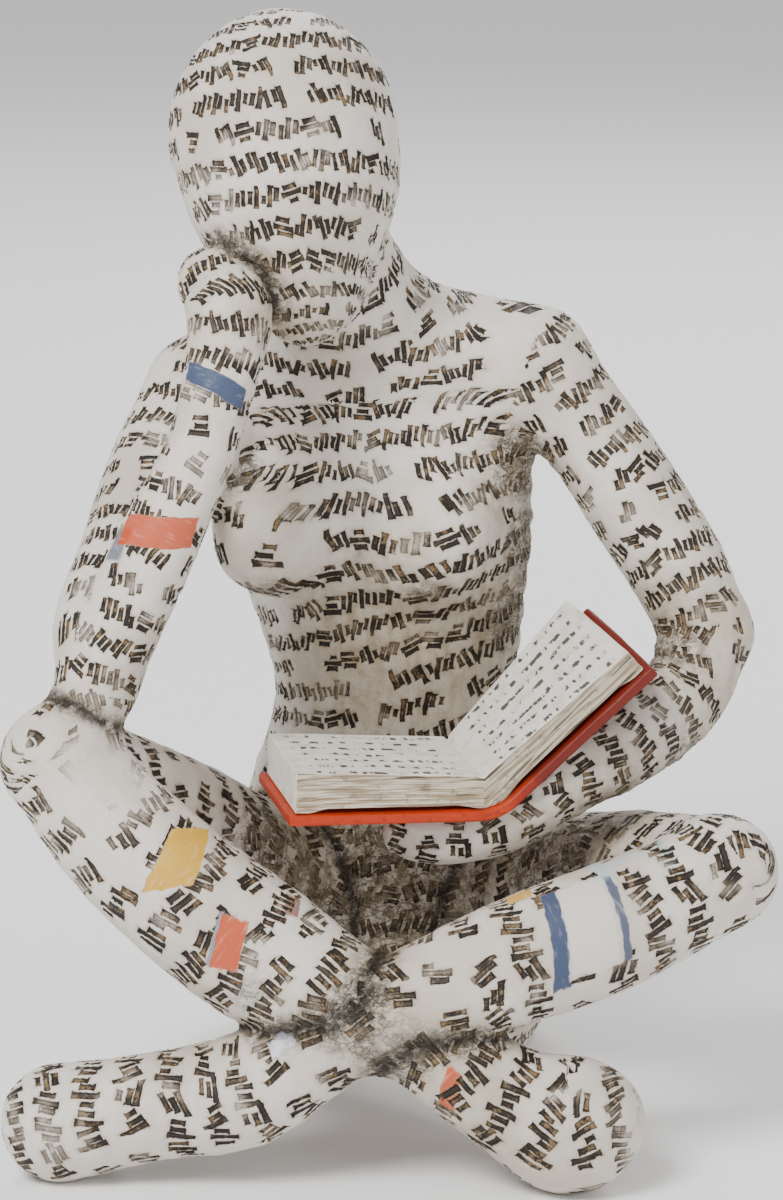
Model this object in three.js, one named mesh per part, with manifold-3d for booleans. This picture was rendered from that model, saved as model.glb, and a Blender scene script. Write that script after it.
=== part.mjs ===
// A small cast figure of a woman who sits with crossed legs, her cheek on her right hand
// and an open book on her left hand. Millimetres, +Z up. She faces -Y, so her right side
// is at -X. The skin of the figure is the zero level of a field of distances: each limb is a
// chain of round stations, and neighbouring limbs flow into each other.
import * as THREE from "three";
import { mergeVertices } from "three/addons/utils/BufferGeometryUtils.js";
import Module from "manifold-3d";

const wasm = await Module();
wasm.setup();

// Driving dimensions.
const HEIGHT = 200; // seat to crown
const HALF_WIDTH = 78; // room for the field round the knees and feet
const FRONT = -82;
const BACK = 58;
const CELL = 4.8; // facet size of the cast figure
const UNDERCUT = 3; // how far the field runs on below the seat plane before it is cut
const GAP = 0.3; // clearance between the book and what holds it
const TWIST = THREE.MathUtils.degToRad(-8); // her chest is turned a little to her right

// One station of a limb: a centre, a half width and a half depth.
const at = (x, y, z, wide, deep = wide) => ({ x, y, z, wide, deep });

// The trunk, from the seat to the chest.
const TRUNK = [
  at(0, 24, 2, 25, 19),
  at(0, 22, 22, 32, 22),
  at(0.5, 19, 44, 29, 19),
  at(1.1, 15, 70, 22.8, 15),
  at(-0.4, 13, 88, 25, 16),
  at(-3, 11, 106, 29, 16.5),
  at(-4, 10, 121, 29, 15),
  at(-5, 9, 131, 24, 11),
];
const SHOULDERS = [
  at(-33, 7, 128.4, 9.5),
  at(-20, 8, 133, 10.5),
  at(-6, 7, 137, 11),
  at(12, 6, 137.3, 10.3),
  at(25, 5, 135, 9.3),
];
const BUTTOCKS = [at(-15, 30, 16, 17), at(15, 30, 16, 17)];
const BREASTS = [at(-21.5, -2, 104, 11), at(6.5, -3.5, 104, 11.5)];
const NECK = [at(-6, 6, 140, 13.5), at(-8.5, 1, 149.5, 12), at(-12.4, -4, 158, 10.8)];
// The head is a blank egg, as the figure has no face.
const HEAD = [
  at(-19.2, -8, HEIGHT - 21.9, 20.4, 22),
  at(-17.6, -8.5, 171, 19, 22.2),
  at(-16.2, -10.5, 164.5, 14.7, 19.5),
  at(-15.4, -13.5, 156.5, 11.6, 15),
  at(-15.2, -16.5, 151.5, 8.2, 10),
];

const KNEE_RIGHT = at(-58.2, -46, 73.2, 9.6);
const KNEE_LEFT = at(57.6, -44, 52.6, 9.8);
const ELBOW_RIGHT = at(-51.2, -42, 86.6, 6.8);
const ELBOW_LEFT = at(57.1, -8, 87.4, 8);

const THIGH_RIGHT = [at(-15, 18, 24, 16), at(-38, -16, 51, 14), KNEE_RIGHT];
const THIGH_LEFT = [at(15, 18, 24, 16), at(38, -14, 41, 14), KNEE_LEFT];
const SHIN_RIGHT = [
  KNEE_RIGHT,
  at(-48.8, -49, 62.2, 11.4),
  at(-36.4, -53, 51.3, 12.2),
  at(-22.9, -55, 41.3, 12.5),
  at(-9, -58, 33.6, 10.2),
  at(4.5, -59, 27.6, 8.9),
  at(13.1, -60, 20.8, 9),
  at(23.4, -61, 14.6, 10.2),
  at(30.5, -61, 11.8, 12.2),
  at(33.6, -61, 12.2, 10.7),
];
const SHIN_LEFT = [
  KNEE_LEFT,
  at(50.5, -48, 49.7, 10.4),
  at(36.3, -54, 44.8, 11.3),
  at(20.9, -58, 40.2, 10.9),
  at(-1, -61, 31.9, 8.8),
  at(-10.7, -61, 27, 8.3),
  at(-26.2, -57, 16.5, 10.1),
  at(-41.6, -56, 13.4, 9.4),
  at(-58.2, -55, 10, 10.4),
];

const UPPER_ARM_RIGHT = [
  at(-34.3, 6, 128.4, 10.2),
  at(-40.8, -7, 116.9, 10.4),
  at(-46.6, -25, 104.3, 9.2),
  at(-51.3, -37, 94, 8.2),
  ELBOW_RIGHT,
];
const FOREARM_RIGHT = [
  ELBOW_RIGHT,
  at(-42, -42, 108.3, 7.3),
  at(-33.2, -40, 127.4, 6.2),
  at(-29.4, -36, 140.8, 6.5),
  at(-28.3, -30, 150.3, 7.5),
  at(-31.4, -25.5, 154.5, 6.2),
];
const UPPER_ARM_LEFT = [
  at(26.8, 4, 134.6, 8.7),
  at(35, 2, 123.6, 8.9),
  at(44.7, -1, 109.4, 9.2),
  at(51.8, -4.5, 98.5, 8.9),
  ELBOW_LEFT,
];
const FOREARM_LEFT = [
  ELBOW_LEFT,
  at(53, -14, 77.8, 7.9),
  at(44, -24, 72.3, 7.7),
  at(29.8, -34, 66.8, 7.3),
  at(19.2, -38, 60.6, 6.2),
  at(9, -38, 57.8, 5.4),
  at(3.2, -38, 58, 4.8),
];
// The heel of her left hand makes the palm wide where the book lies on it.
const PALM_LEFT = [at(17, -33, 60.5, 5), at(6, -31, 58.5, 4.6)];

// The open book lies across her left hand, its near end at the gutter point below.
const GUTTER = new THREE.Vector3(16.2, -46, 70.2);
const SPINE_TURN = THREE.MathUtils.degToRad(11.4); // the spine turns away from straight back
const LEAF_LONG = 29; // along the spine
const LEAF_WIDE = 36.2; // from the spine to the fore-edge, along the cover
const LEFT_RISE = THREE.MathUtils.degToRad(1.5);
const RIGHT_RISE = THREE.MathUtils.degToRad(42); // at the near end of the spine
const RIGHT_SPLAY = THREE.MathUtils.degToRad(8.5); // so much steeper at the far end
const BEND = 8; // how much of the cover bends round the spine
const COVER = 2.8;
const COVER_EDGE = 1.3; // the cover shows this much round the leaves
const BLOCK = 5.1; // mean thickness of the leaves
const BLOCK_LEAN = 1.5; // the left block is that much thicker, the right one thinner
const GUTTER_DIP = 0.5; // the page dips so much along the spine

// A chain of stations drawn through the given ones by a Catmull-Rom curve.
const STEPS = 6;
function chain(stations) {
  const places = new THREE.CatmullRomCurve3(
    stations.map((s) => new THREE.Vector3(s.x, s.y, s.z)),
  );
  const sizes = new THREE.CatmullRomCurve3(
    stations.map((s, i) => new THREE.Vector3(s.wide, s.deep, i * 10)),
  );
  const spans = (stations.length - 1) * STEPS;
  return Array.from({ length: spans + 1 }, (_, i) => {
    const p = places.getPoint(i / spans);
    const s = sizes.getPoint(i / spans);
    return at(p.x, p.y, p.z, s.x, s.y);
  });
}

// Distance from a point to a stretch between two stations with an elliptical section.
const SIDE = [Math.cos(TWIST), Math.sin(TWIST), 0];
function stretchDistance(a, b, x, y, z) {
  const [ux, uy, uz] = [b.x - a.x, b.y - a.y, b.z - a.z];
  const length2 = ux * ux + uy * uy + uz * uz;
  const along = ((x - a.x) * ux + (y - a.y) * uy + (z - a.z) * uz) / (length2 || 1);
  const t = Math.min(1, Math.max(0, along));
  const [qx, qy, qz] = [x - a.x - t * ux, y - a.y - t * uy, z - a.z - t * uz];
  const wide = a.wide + t * (b.wide - a.wide);
  const deep = a.deep + t * (b.deep - a.deep);
  const q2 = qx * qx + qy * qy + qz * qz;
  if (wide === deep) return Math.sqrt(q2) - wide;
  const side = qx * SIDE[0] + qy * SIDE[1];
  const rest2 = q2 - side * side;
  const k0 = Math.sqrt((side / wide) ** 2 + rest2 / deep ** 2);
  const k1 = Math.sqrt((side / wide ** 2) ** 2 + rest2 / deep ** 4);
  return k1 > 0 ? (k0 * (k0 - 1)) / k1 : -Math.min(wide, deep);
}

function limb(stations) {
  const links = stations.length > 1 ? chain(stations) : [stations[0], stations[0]];
  return (x, y, z) => {
    let least = Infinity;
    for (let i = 1; i < links.length; i++) {
      least = Math.min(least, stretchDistance(links[i - 1], links[i], x, y, z));
    }
    return least;
  };
}

// The lesser of two distances, rounded over a fillet of the given size.
function flow(a, b, fillet) {
  const h = Math.max(fillet - Math.abs(a - b), 0) / fillet;
  return Math.min(a, b) - (h * h * fillet) / 4;
}

// What flows into what, in the order it is added, with the fillet between them.
const FORMS = [
  [limb(TRUNK), 1],
  [limb(SHOULDERS), 8],
  ...BUTTOCKS.map((s) => [limb([s]), 8]),
  ...BREASTS.map((s) => [limb([s]), 8]),
  [limb(NECK), 8],
  [limb(UPPER_ARM_RIGHT), 6],
  [limb(UPPER_ARM_LEFT), 6],
  [limb(THIGH_RIGHT), 8],
  [limb(THIGH_LEFT), 8],
  [limb(HEAD), 3],
  [limb(SHIN_RIGHT), 2.5],
  [limb(SHIN_LEFT), 2.5],
  [limb(FOREARM_RIGHT), 2.5],
  [flowOf(FOREARM_LEFT, PALM_LEFT, 6), 2.5],
];
function flowOf(first, second, fillet) {
  const [a, b] = [limb(first), limb(second)];
  return (x, y, z) => flow(a(x, y, z), b(x, y, z), fillet);
}
function skin(x, y, z) {
  const body = FORMS.reduce((d, [form, fillet]) => flow(d, form(x, y, z), fillet), 1e3);
  return Math.max(body, -UNDERCUT - z);
}

// The zero level of a field as a closed mesh: one vertex in each grid cell that the level
// crosses, and a quad round each grid edge that it crosses. A cell that holds two sheets
// of the surface gets one vertex for each sheet, so the mesh stays manifold.
function surfaceOf(field, box, cell) {
  const size = box.getSize(new THREE.Vector3());
  const [nx, ny, nz] = size.toArray().map((s) => Math.ceil(s / cell) + 1);
  const index = (i, j, k) => i + nx * (j + ny * k);
  const place = (i, j, k) => [
    box.min.x + i * cell,
    box.min.y + j * cell,
    box.min.z + k * cell,
  ];
  const value = new Float64Array(nx * ny * nz);
  for (let k = 0; k < nz; k++)
    for (let j = 0; j < ny; j++)
      for (let i = 0; i < nx; i++) value[index(i, j, k)] = field(...place(i, j, k));

  const corner = (c) => [c & 1, (c >> 1) & 1, c >> 2];
  const edges = [];
  for (let a = 0; a < 8; a++)
    for (const bit of [1, 2, 4]) if (!(a & bit)) edges.push([a, a | bit]);
  const edgeAt = (a, b) => edges.findIndex(([p, q]) => p === Math.min(a, b) && q === Math.max(a, b));
  // The four corners of each face of a cell, in order round it.
  const faces = [
    [0, 1, 3, 2], [4, 5, 7, 6], [0, 1, 5, 4], [2, 3, 7, 6], [0, 2, 6, 4], [1, 3, 7, 5],
  ];

  const vertices = [];
  const sheetOf = new Map(); // "cell:edge" to vertex
  for (let k = 0; k + 1 < nz; k++)
    for (let j = 0; j + 1 < ny; j++)
      for (let i = 0; i + 1 < nx; i++) {
        const v = Array.from({ length: 8 }, (_, c) => {
          const [a, b, d] = corner(c);
          return value[index(i + a, j + b, k + d)];
        });
        const inside = v.map((x) => x < 0);
        if (inside.every((x) => x === inside[0])) continue;
        // Crossed edges joined through the faces; inside corners that only meet at a
        // diagonal stay apart.
        const group = edges.map((_, e) => e);
        const root = (e) => (group[e] === e ? e : root(group[e]));
        for (const f of faces) {
          const ring = f.map((c, n) => edgeAt(c, f[(n + 1) % 4]));
          const cut = ring.filter((e) => inside[edges[e][0]] !== inside[edges[e][1]]);
          if (cut.length === 2) group[root(cut[0])] = root(cut[1]);
          if (cut.length === 4)
            f.forEach((c, n) => {
              if (inside[c]) group[root(ring[n])] = root(ring[(n + 3) % 4]);
            });
        }
        const sheets = new Map();
        edges.forEach(([a, b], e) => {
          if (inside[a] === inside[b]) return;
          const r = root(e);
          if (!sheets.has(r)) sheets.set(r, []);
          sheets.get(r).push(e);
        });
        for (const sheet of sheets.values()) {
          const sum = [0, 0, 0];
          for (const e of sheet) {
            const [a, b] = edges[e];
            const t = v[a] / (v[a] - v[b]);
            const [pa, pb] = [corner(a), corner(b)];
            for (let n = 0; n < 3; n++) sum[n] += pa[n] + t * (pb[n] - pa[n]);
          }
          const origin = place(i, j, k);
          const p = sum.map((s, n) => origin[n] + (cell * s) / sheet.length);
          for (const e of sheet) sheetOf.set(index(i, j, k) * 12 + e, vertices.length);
          vertices.push(settle(field, p, cell));
        }
      }

  const triangles = [];
  const axes = [[1, 0, 0], [0, 1, 0], [0, 0, 1]];
  for (let k = 1; k + 1 < nz; k++)
    for (let j = 1; j + 1 < ny; j++)
      for (let i = 1; i + 1 < nx; i++)
        axes.forEach((axis, n) => {
          const a = value[index(i, j, k)] < 0;
          const b = value[index(i + axis[0], j + axis[1], k + axis[2])] < 0;
          if (a === b) return;
          const [m, o] = [(n + 1) % 3, (n + 2) % 3];
          // The four cells round this grid edge, and the edge's own number in each.
          const round = [[0, 0], [1, 0], [1, 1], [0, 1]].map(([s, t]) => {
            const c = [i, j, k];
            c[m] -= s;
            c[o] -= t;
            const low = (s << m) | (t << o);
            return sheetOf.get(index(...c) * 12 + edgeAt(low, low | (1 << n)));
          });
          if (b) round.reverse();
          const [p, q, r, s] = round;
          const flat = (u, w) =>
            vertices[u].reduce((sum, x, c) => sum + (x - vertices[w][c]) ** 2, 0);
          if (flat(p, r) < flat(q, s)) triangles.push(p, q, r, p, r, s);
          else triangles.push(p, q, s, q, r, s);
        });
  return new THREE.BufferGeometry()
    .setAttribute("position", new THREE.Float32BufferAttribute(vertices.flat(), 3))
    .setIndex(triangles);
}

// Moves a point onto the zero level, along the field's slope, by at most half a cell.
function settle(field, start, cell) {
  const p = [...start];
  const step = 0.05;
  for (let round = 0; round < 4; round++) {
    const d = field(...p);
    const slope = [0, 1, 2].map((n) => {
      const q = [...p];
      q[n] += step;
      return (field(...q) - d) / step;
    });
    const steep = Math.max(slope.reduce((s, g) => s + g * g, 0), 0.2);
    p.forEach((x, n) => {
      const moved = x - (d * slope[n]) / steep;
      p[n] = Math.min(start[n] + cell / 2, Math.max(start[n] - cell / 2, moved));
    });
  }
  return p;
}

function solidOf(geometry) {
  const bare = geometry.index ? geometry.toNonIndexed() : geometry.clone();
  bare.deleteAttribute("normal");
  bare.deleteAttribute("uv");
  const merged = mergeVertices(bare, 1e-4);
  return new wasm.Manifold(
    new wasm.Mesh({
      numProp: 3,
      vertProperties: merged.attributes.position.array,
      triVerts: new Uint32Array(merged.index.array),
    }),
  );
}
function geometryOf(solid) {
  const mesh = solid.getMesh();
  return new THREE.BufferGeometry()
    .setAttribute("position", new THREE.BufferAttribute(mesh.vertProperties, 3))
    .setIndex(new THREE.BufferAttribute(mesh.triVerts, 1));
}

// Everything below the seat plane is cut away, which leaves the flat spots she sits on.
function floorBlock() {
  const block = new THREE.BoxGeometry(400, 400, 40);
  block.translate(0, 0, -20);
  return solidOf(block);
}

// Where a point of the book lies once the flat book is bent round its spine. The point is
// given flat: across from the gutter, up from under the cover, and along the spine.
function bent(across, up, along) {
  const right = RIGHT_RISE + (RIGHT_SPLAY * along) / LEAF_LONG;
  const turnPer = (right + LEFT_RISE) / BEND;
  const half = BEND / 2;
  const angleAt = (a) => -LEFT_RISE + turnPer * (Math.min(half, Math.max(-half, a)) + half);
  const direct = (a) => new THREE.Vector2(Math.cos(angleAt(a)), Math.sin(angleAt(a)));
  const up2 = (a) => new THREE.Vector2(-Math.sin(angleAt(a)), Math.cos(angleAt(a)));
  // The underside of the cover runs as an arc of this radius, then straight on.
  const radius = 1 / turnPer;
  const under = (a) => {
    const inArc = Math.min(half, Math.max(-half, a));
    const arc = up2(0).multiplyScalar(radius).sub(up2(inArc).multiplyScalar(radius));
    return arc.addScaledVector(direct(inArc), a - inArc);
  };
  return under(across).addScaledVector(up2(across), up);
}

function blockTop(across) {
  const gutter = GUTTER_DIP * Math.exp(-((across / 2.5) ** 2));
  return COVER + BLOCK - (BLOCK_LEAN * across) / LEAF_WIDE - gutter;
}

// A flat slab of the book, bent and set in place; grow widens it on every side.
function bookSlab(left, right, low, high, overhang, grow) {
  const slab = new THREE.BoxGeometry(1, 1, 1, 18, 2, 1);
  const points = slab.attributes.position;
  const turn = new THREE.Vector3(Math.cos(SPINE_TURN), Math.sin(SPINE_TURN), 0);
  const back = new THREE.Vector3(-Math.sin(SPINE_TURN), Math.cos(SPINE_TURN), 0);
  const gutter = bent(0, blockTop(0), 0);
  for (let i = 0; i < points.count; i++) {
    const across = left - grow + (points.getX(i) + 0.5) * (right - left + 2 * grow);
    const ends = LEAF_LONG / 2 + overhang + grow;
    const along = LEAF_LONG / 2 + 2 * points.getY(i) * ends;
    const up = points.getZ(i) < 0 ? low(across) - grow : high(across) + grow;
    const place = bent(across, up, along).sub(gutter);
    const p = GUTTER.clone()
      .addScaledVector(turn, place.x)
      .addScaledVector(back, along)
      .setZ(GUTTER.z + place.y);
    points.setXYZ(i, p.x, p.y, p.z);
  }
  return solidOf(slab);
}

function openBook(grow = 0) {
  const reach = LEAF_WIDE + COVER_EDGE;
  const cover = bookSlab(-reach, reach, () => 0, () => COVER, COVER_EDGE, grow);
  const leaves = bookSlab(-LEAF_WIDE, LEAF_WIDE, () => COVER / 2, blockTop, 0, grow);
  return cover.add(leaves);
}

function castFigure() {
  const box = new THREE.Box3(
    new THREE.Vector3(-HALF_WIDTH, FRONT, -2 * CELL),
    new THREE.Vector3(HALF_WIDTH, BACK, HEIGHT + 2 * CELL),
  );
  return solidOf(surfaceOf(skin, box, CELL)).subtract(floorBlock()).subtract(openBook(GAP));
}

function part(name, solid, color) {
  const mesh = new THREE.Mesh(
    geometryOf(solid),
    new THREE.MeshStandardMaterial({ color, roughness: 0.75 }),
  );
  mesh.name = name;
  return mesh;
}

// The origin is on the surface she sits on, under the middle of the whole.
const pieces = new THREE.Group();
pieces.add(part("reading_woman", castFigure(), 0xd9d4cc));
pieces.add(part("open_book", openBook(), 0xb5452f));
const middle = new THREE.Box3().setFromObject(pieces).getCenter(new THREE.Vector3());
pieces.position.set(-middle.x, -middle.y, 0);

const group = new THREE.Group();
group.add(pieces);
export default group;
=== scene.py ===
"""The looks of a cast figurine: a woman who sits with crossed legs and reads a book.

Her skin is one piece that keeps the solid's form. It carries rows of shallow strokes pressed
into pale paper, wrinkles where the paper was rucked, brown wash in its hollows, painted shade
in its creases and on its belly, lap and undersides, and a few painted patches. The book is a
cover and two blocks of leaves. Lengths are in millimetres until they go into a mesh.
"""
import math

import bpy
import numpy as np
from bpy.props import FloatProperty, FloatVectorProperty, IntProperty, PointerProperty
from bpy.types import Operator, Panel, PropertyGroup
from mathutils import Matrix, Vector


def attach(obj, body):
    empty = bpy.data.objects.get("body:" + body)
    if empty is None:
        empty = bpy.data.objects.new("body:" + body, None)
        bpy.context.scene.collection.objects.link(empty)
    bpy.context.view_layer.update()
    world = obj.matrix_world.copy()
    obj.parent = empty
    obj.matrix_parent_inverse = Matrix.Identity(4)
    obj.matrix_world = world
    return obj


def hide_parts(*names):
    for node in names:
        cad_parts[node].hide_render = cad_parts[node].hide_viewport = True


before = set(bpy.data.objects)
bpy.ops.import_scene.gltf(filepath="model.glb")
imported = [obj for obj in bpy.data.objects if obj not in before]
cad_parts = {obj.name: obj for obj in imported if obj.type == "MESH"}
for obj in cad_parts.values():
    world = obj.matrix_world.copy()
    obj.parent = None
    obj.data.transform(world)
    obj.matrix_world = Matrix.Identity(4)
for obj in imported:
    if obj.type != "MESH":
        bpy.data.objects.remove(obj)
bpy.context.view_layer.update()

bl_info = {
    "name": "Reading woman figurine",
    "version": (1, 0, 0),
    "blender": (4, 5, 0),
    "location": "3D View > Sidebar > Figurine",
    "description": "Makes the skin, the book and the stage of a reading woman figurine",
    "category": "Object",
}

MM = 0.001
# Where the point that the stations are given from lies in the frame: under her trunk.
ORIGIN = np.array([0.56, 12.84, 0.0])
TWIST = math.radians(-8)  # her chest is turned a little to her right
STEPS = 3  # short spans drawn between two stations
FAR = 1e3
TINY = 1e-9
REACH = 14  # how far from a limb its distance is worked out


def drawn_through(points, steps=STEPS):
    """A centripetal Catmull-Rom curve through points: a cubic for each span, whose slopes at
    its ends are differences of the neighbours divided by the square roots of their distances."""
    points = np.asarray(points, float)
    p = np.vstack([2 * points[0] - points[1], points, 2 * points[-1] - points[-2]])
    step = np.maximum(np.linalg.norm(np.diff(p, axis=0), axis=1), 1e-4)[:, None] ** 0.5
    a, b, c, d = p[:-3], p[1:-2], p[2:-1], p[3:]
    s0, s1, s2 = step[:-2], step[1:-1], step[2:]
    start = s1 * ((b - a) / s0 - (c - a) / (s0 + s1) + (c - b) / s1)
    end = s1 * ((c - b) / s1 - (d - b) / (s1 + s2) + (d - c) / s2)
    t = (np.arange(steps) / steps)[None, :, None]
    b, c, start, end = (x[:, None, :] for x in (b, c, start, end))
    square = t**2 * (3 * (c - b) - 2 * start - end)
    cube = t**3 * (2 * (b - c) + start + end)
    curve = b + t * start + square + cube
    return np.vstack([curve.reshape(-1, points.shape[1]), points[-1:]])


def unit(v):
    return v / np.maximum(np.linalg.norm(v, axis=-1, keepdims=True), TINY)


def dot(a, b):
    return np.sum(a * b, axis=-1)


def ease(low, high, x):
    """0 below low, 1 above high, and a smooth S between them."""
    t = np.clip((x - low) / (high - low), 0, 1)
    return t * t * (3 - 2 * t)


class Limb:
    """A chain of stations (x, y, z, half width, half depth), the paper rows that run round it,
    and the side from which its rows are counted round."""

    def __init__(self, stations, fillet, rows=None, front=(0, -1, 0), letter=(3.75, 5.7), lean=0.0,
                 guide=None):
        table = np.array([s if len(s) == 5 else (*s, s[3]) for s in stations], float)
        if len(table) == 1:
            table = np.vstack([table, table])
            table[1, 0] += 1e-3
        self.centre = drawn_through(table[:, :3]) + ORIGIN
        spread = np.column_stack([table[:, 3:], np.arange(len(table)) * 10.0])
        self.wide, self.deep = drawn_through(spread)[:, :2].T
        self.fillet = fillet
        self.rows = rows
        self.front = np.array(front, float)
        self.letter = letter
        self.lean = lean
        self.guide = Limb(guide, fillet, front=front) if guide else self
        self.run = np.diff(self.centre, axis=0)
        self.length = np.concatenate([[0], np.cumsum(np.linalg.norm(self.run, axis=1))])
        way = unit(self.run)
        self.way = unit(np.vstack([way[:1], way[:-1] + way[1:], way[-1:]]))
        reach = np.maximum(self.wide, self.deep).max() + REACH
        self.low = self.centre.min(axis=0) - reach
        self.high = self.centre.max(axis=0) + reach

    def distance(self, points):
        """The least distance to a span. A span is swept by an ellipse whose sizes change evenly
        along it: for relative distances k0 and k1 it is about k0 (k0 - 1) / k1. Returns the
        distances and the nearest span of each point."""
        least = np.full(len(points), FAR)
        nearest = np.zeros(len(points), int)
        near = np.flatnonzero(np.all((points > self.low) & (points < self.high), axis=1))
        if not len(near):
            return least, nearest
        p = points[near]
        best = np.full(len(near), FAR)
        which = np.zeros(len(near), int)
        side = np.array([math.cos(TWIST), math.sin(TWIST), 0])
        for i, run in enumerate(self.run):
            q = p - self.centre[i]
            t = np.clip(q @ run / max(run @ run, 1e-12), 0, 1)
            q = q - t[:, None] * run
            wide = self.wide[i] + t * (self.wide[i + 1] - self.wide[i])
            deep = self.deep[i] + t * (self.deep[i + 1] - self.deep[i])
            square = dot(q, q)
            if np.allclose(self.wide[i : i + 2], self.deep[i : i + 2]):
                d = np.sqrt(square) - wide
            else:
                across = (q @ side) ** 2
                rest = np.maximum(square - across, 0)
                k0 = np.sqrt(across / wide**2 + rest / deep**2)
                k1 = np.sqrt(across / wide**4 + rest / deep**4)
                d = k0 * (k0 - 1) / np.maximum(k1, TINY)
                d = np.where(k1 > TINY, d, -np.minimum(wide, deep))
            closer = d < best
            best[closer] = d[closer]
            which[closer] = i
        least[near] = best
        nearest[near] = which
        return least, nearest

    def place(self, points, span):
        """Where points are on the limb: how far along it, at which angle round it, and the
        radius there. The share of a span that a point has passed is taken between the planes
        that halve the bends at its ends, so rows fan out round a bend; past an end of the chain
        it is the angle over the dome there."""
        last = len(self.run) - 1
        span = np.minimum(span, last)
        for _ in range(len(self.run)):
            before = dot(points - self.centre[span], self.way[span])
            after = dot(points - self.centre[span + 1], self.way[span + 1])
            gap = before - after
            share = before / np.where(np.abs(gap) < 1e-6, 1e-6, gap)
            moved = np.clip(span + (after > 0).astype(int) - (before < 0).astype(int), 0, last)
            if np.array_equal(moved, span):
                break
            span = moved
        share = np.clip(share, 0, 1)[:, None]
        axis = unit(self.way[span] * (1 - share) + self.way[span + 1] * share)
        centre = self.centre[span] * (1 - share) + self.centre[span + 1] * share
        share = share[:, 0]
        along = self.length[span] * (1 - share) + self.length[span + 1] * share
        wide = self.wide[span] * (1 - share) + self.wide[span + 1] * share
        q = points - centre
        beyond = dot(q, axis)
        q = q - beyond[:, None] * axis
        radial = np.linalg.norm(q, axis=1)
        front = unit(self.front - (axis @ self.front)[:, None] * axis)
        around = np.arctan2(dot(q, np.cross(axis, front)), dot(q, front))
        past = ((span == 0) & (share <= 0)) | ((span == last) & (share >= 1))
        dome = np.where(past, np.arctan2(beyond, np.maximum(radial, 1e-6)), 0)
        return along + wide * dome, around, np.where(dome == 0, wide, np.minimum(wide, radial))

    def arc(self, angle, radius):
        """The length round an ellipse from the front to an angle, for a half width of radius."""
        flat = float(np.mean(self.deep / self.wide))
        a = np.linspace(-math.pi, math.pi, 361)
        x, y = np.sin(a), np.cos(a) * flat
        turned = np.unwrap(np.arctan2(x, y))
        run = np.concatenate([[0], np.cumsum(np.hypot(np.diff(x), np.diff(y)))])
        run -= run[180]
        whole = np.floor((angle + math.pi) / (2 * math.pi))
        within = angle - whole * 2 * math.pi
        return (np.interp(within, turned, run) + whole * (run[-1] - run[0])) * radius


# The trunk, from the seat to the chest; the paper rows of the belly rise to her left.
TRUNK = [
    (0, 24, 2, 25, 19), (0, 22, 22, 32, 22), (0.5, 19, 44, 29, 19), (1.1, 15, 70, 22.8, 15),
    (-0.4, 13, 88, 25, 16), (-3, 11, 106, 29, 16.5), (-4, 10, 121, 29, 15), (-5, 9, 131, 24, 11),
]
SHOULDERS = [
    (-33, 7, 128.4, 9.5), (-20, 8, 133, 10.5), (-6, 7, 137, 11), (12, 6, 137.3, 10.3),
    (25, 5, 135, 9.3),
]
BUTTOCKS = [(-15, 30, 16, 17), (15, 30, 16, 17)]
BREASTS = [(-21.5, -2, 104, 11), (6.5, -3.5, 104, 11.5)]
NECK = [(-6, 6, 140, 13.5), (-8.5, 1, 149.5, 12), (-12.4, -4, 158, 10.8)]
HEAD = [
    (-19.2, -8, 178.1, 20.4, 22), (-17.6, -8.5, 171, 19, 22.2), (-16.2, -10.5, 164.5, 14.7, 19.5),
    (-15.4, -13.5, 156.5, 11.6, 15), (-15.2, -16.5, 151.5, 8.2, 10),
]
# The rows of the head run round a straight line from its crown to its chin.
HEAD_GUIDE = [(-19.2, -8, 178.1, 20.4, 22), (-15.2, -16.5, 151.5, 15, 18)]
KNEE_RIGHT = (-58.2, -46, 73.2, 9.6)
KNEE_LEFT = (57.6, -44, 52.6, 9.8)
ELBOW_RIGHT = (-51.2, -42, 86.6, 6.8)
ELBOW_LEFT = (57.1, -8, 87.4, 8)
THIGH_RIGHT = [(-15, 18, 24, 16), (-38, -16, 51, 14), KNEE_RIGHT]
THIGH_LEFT = [(15, 18, 24, 16), (38, -14, 41, 14), KNEE_LEFT]
SHIN_RIGHT = [
    KNEE_RIGHT, (-48.8, -49, 62.2, 11.4), (-36.4, -53, 51.3, 12.2), (-22.9, -55, 41.3, 12.5),
    (-9, -58, 33.6, 10.2), (4.5, -59, 27.6, 8.9), (13.1, -60, 20.8, 9), (23.4, -61, 14.6, 10.2),
    (30.5, -61, 11.8, 12.2), (33.6, -61, 12.2, 10.7),
]
SHIN_LEFT = [
    KNEE_LEFT, (50.5, -48, 49.7, 10.4), (36.3, -54, 44.8, 11.3), (20.9, -58, 40.2, 10.9),
    (-1, -61, 31.9, 8.8), (-10.7, -61, 27, 8.3), (-26.2, -57, 16.5, 10.1),
    (-41.6, -56, 13.4, 9.4), (-58.2, -55, 10, 10.4),
]
UPPER_ARM_RIGHT = [
    (-34.3, 6, 128.4, 10.2), (-40.8, -7, 116.9, 10.4), (-46.6, -25, 104.3, 9.2),
    (-51.3, -37, 94, 8.2), ELBOW_RIGHT,
]
FOREARM_RIGHT = [
    ELBOW_RIGHT, (-42, -42, 108.3, 7.3), (-33.2, -40, 127.4, 6.2), (-29.4, -36, 140.8, 6.5),
    (-28.3, -30, 150.3, 7.5), (-31.4, -25.5, 154.5, 6.2),
]
UPPER_ARM_LEFT = [
    (26.8, 4, 134.6, 8.7), (35, 2, 123.6, 8.9), (44.7, -1, 109.4, 9.2), (51.8, -4.5, 98.5, 8.9),
    ELBOW_LEFT,
]
FOREARM_LEFT = [
    ELBOW_LEFT, (53, -14, 77.8, 7.9), (44, -24, 72.3, 7.7), (29.8, -34, 66.8, 7.3),
    (19.2, -38, 60.6, 6.2), (9, -38, 57.8, 5.4), (3.2, -38, 58, 4.8),
]
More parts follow.
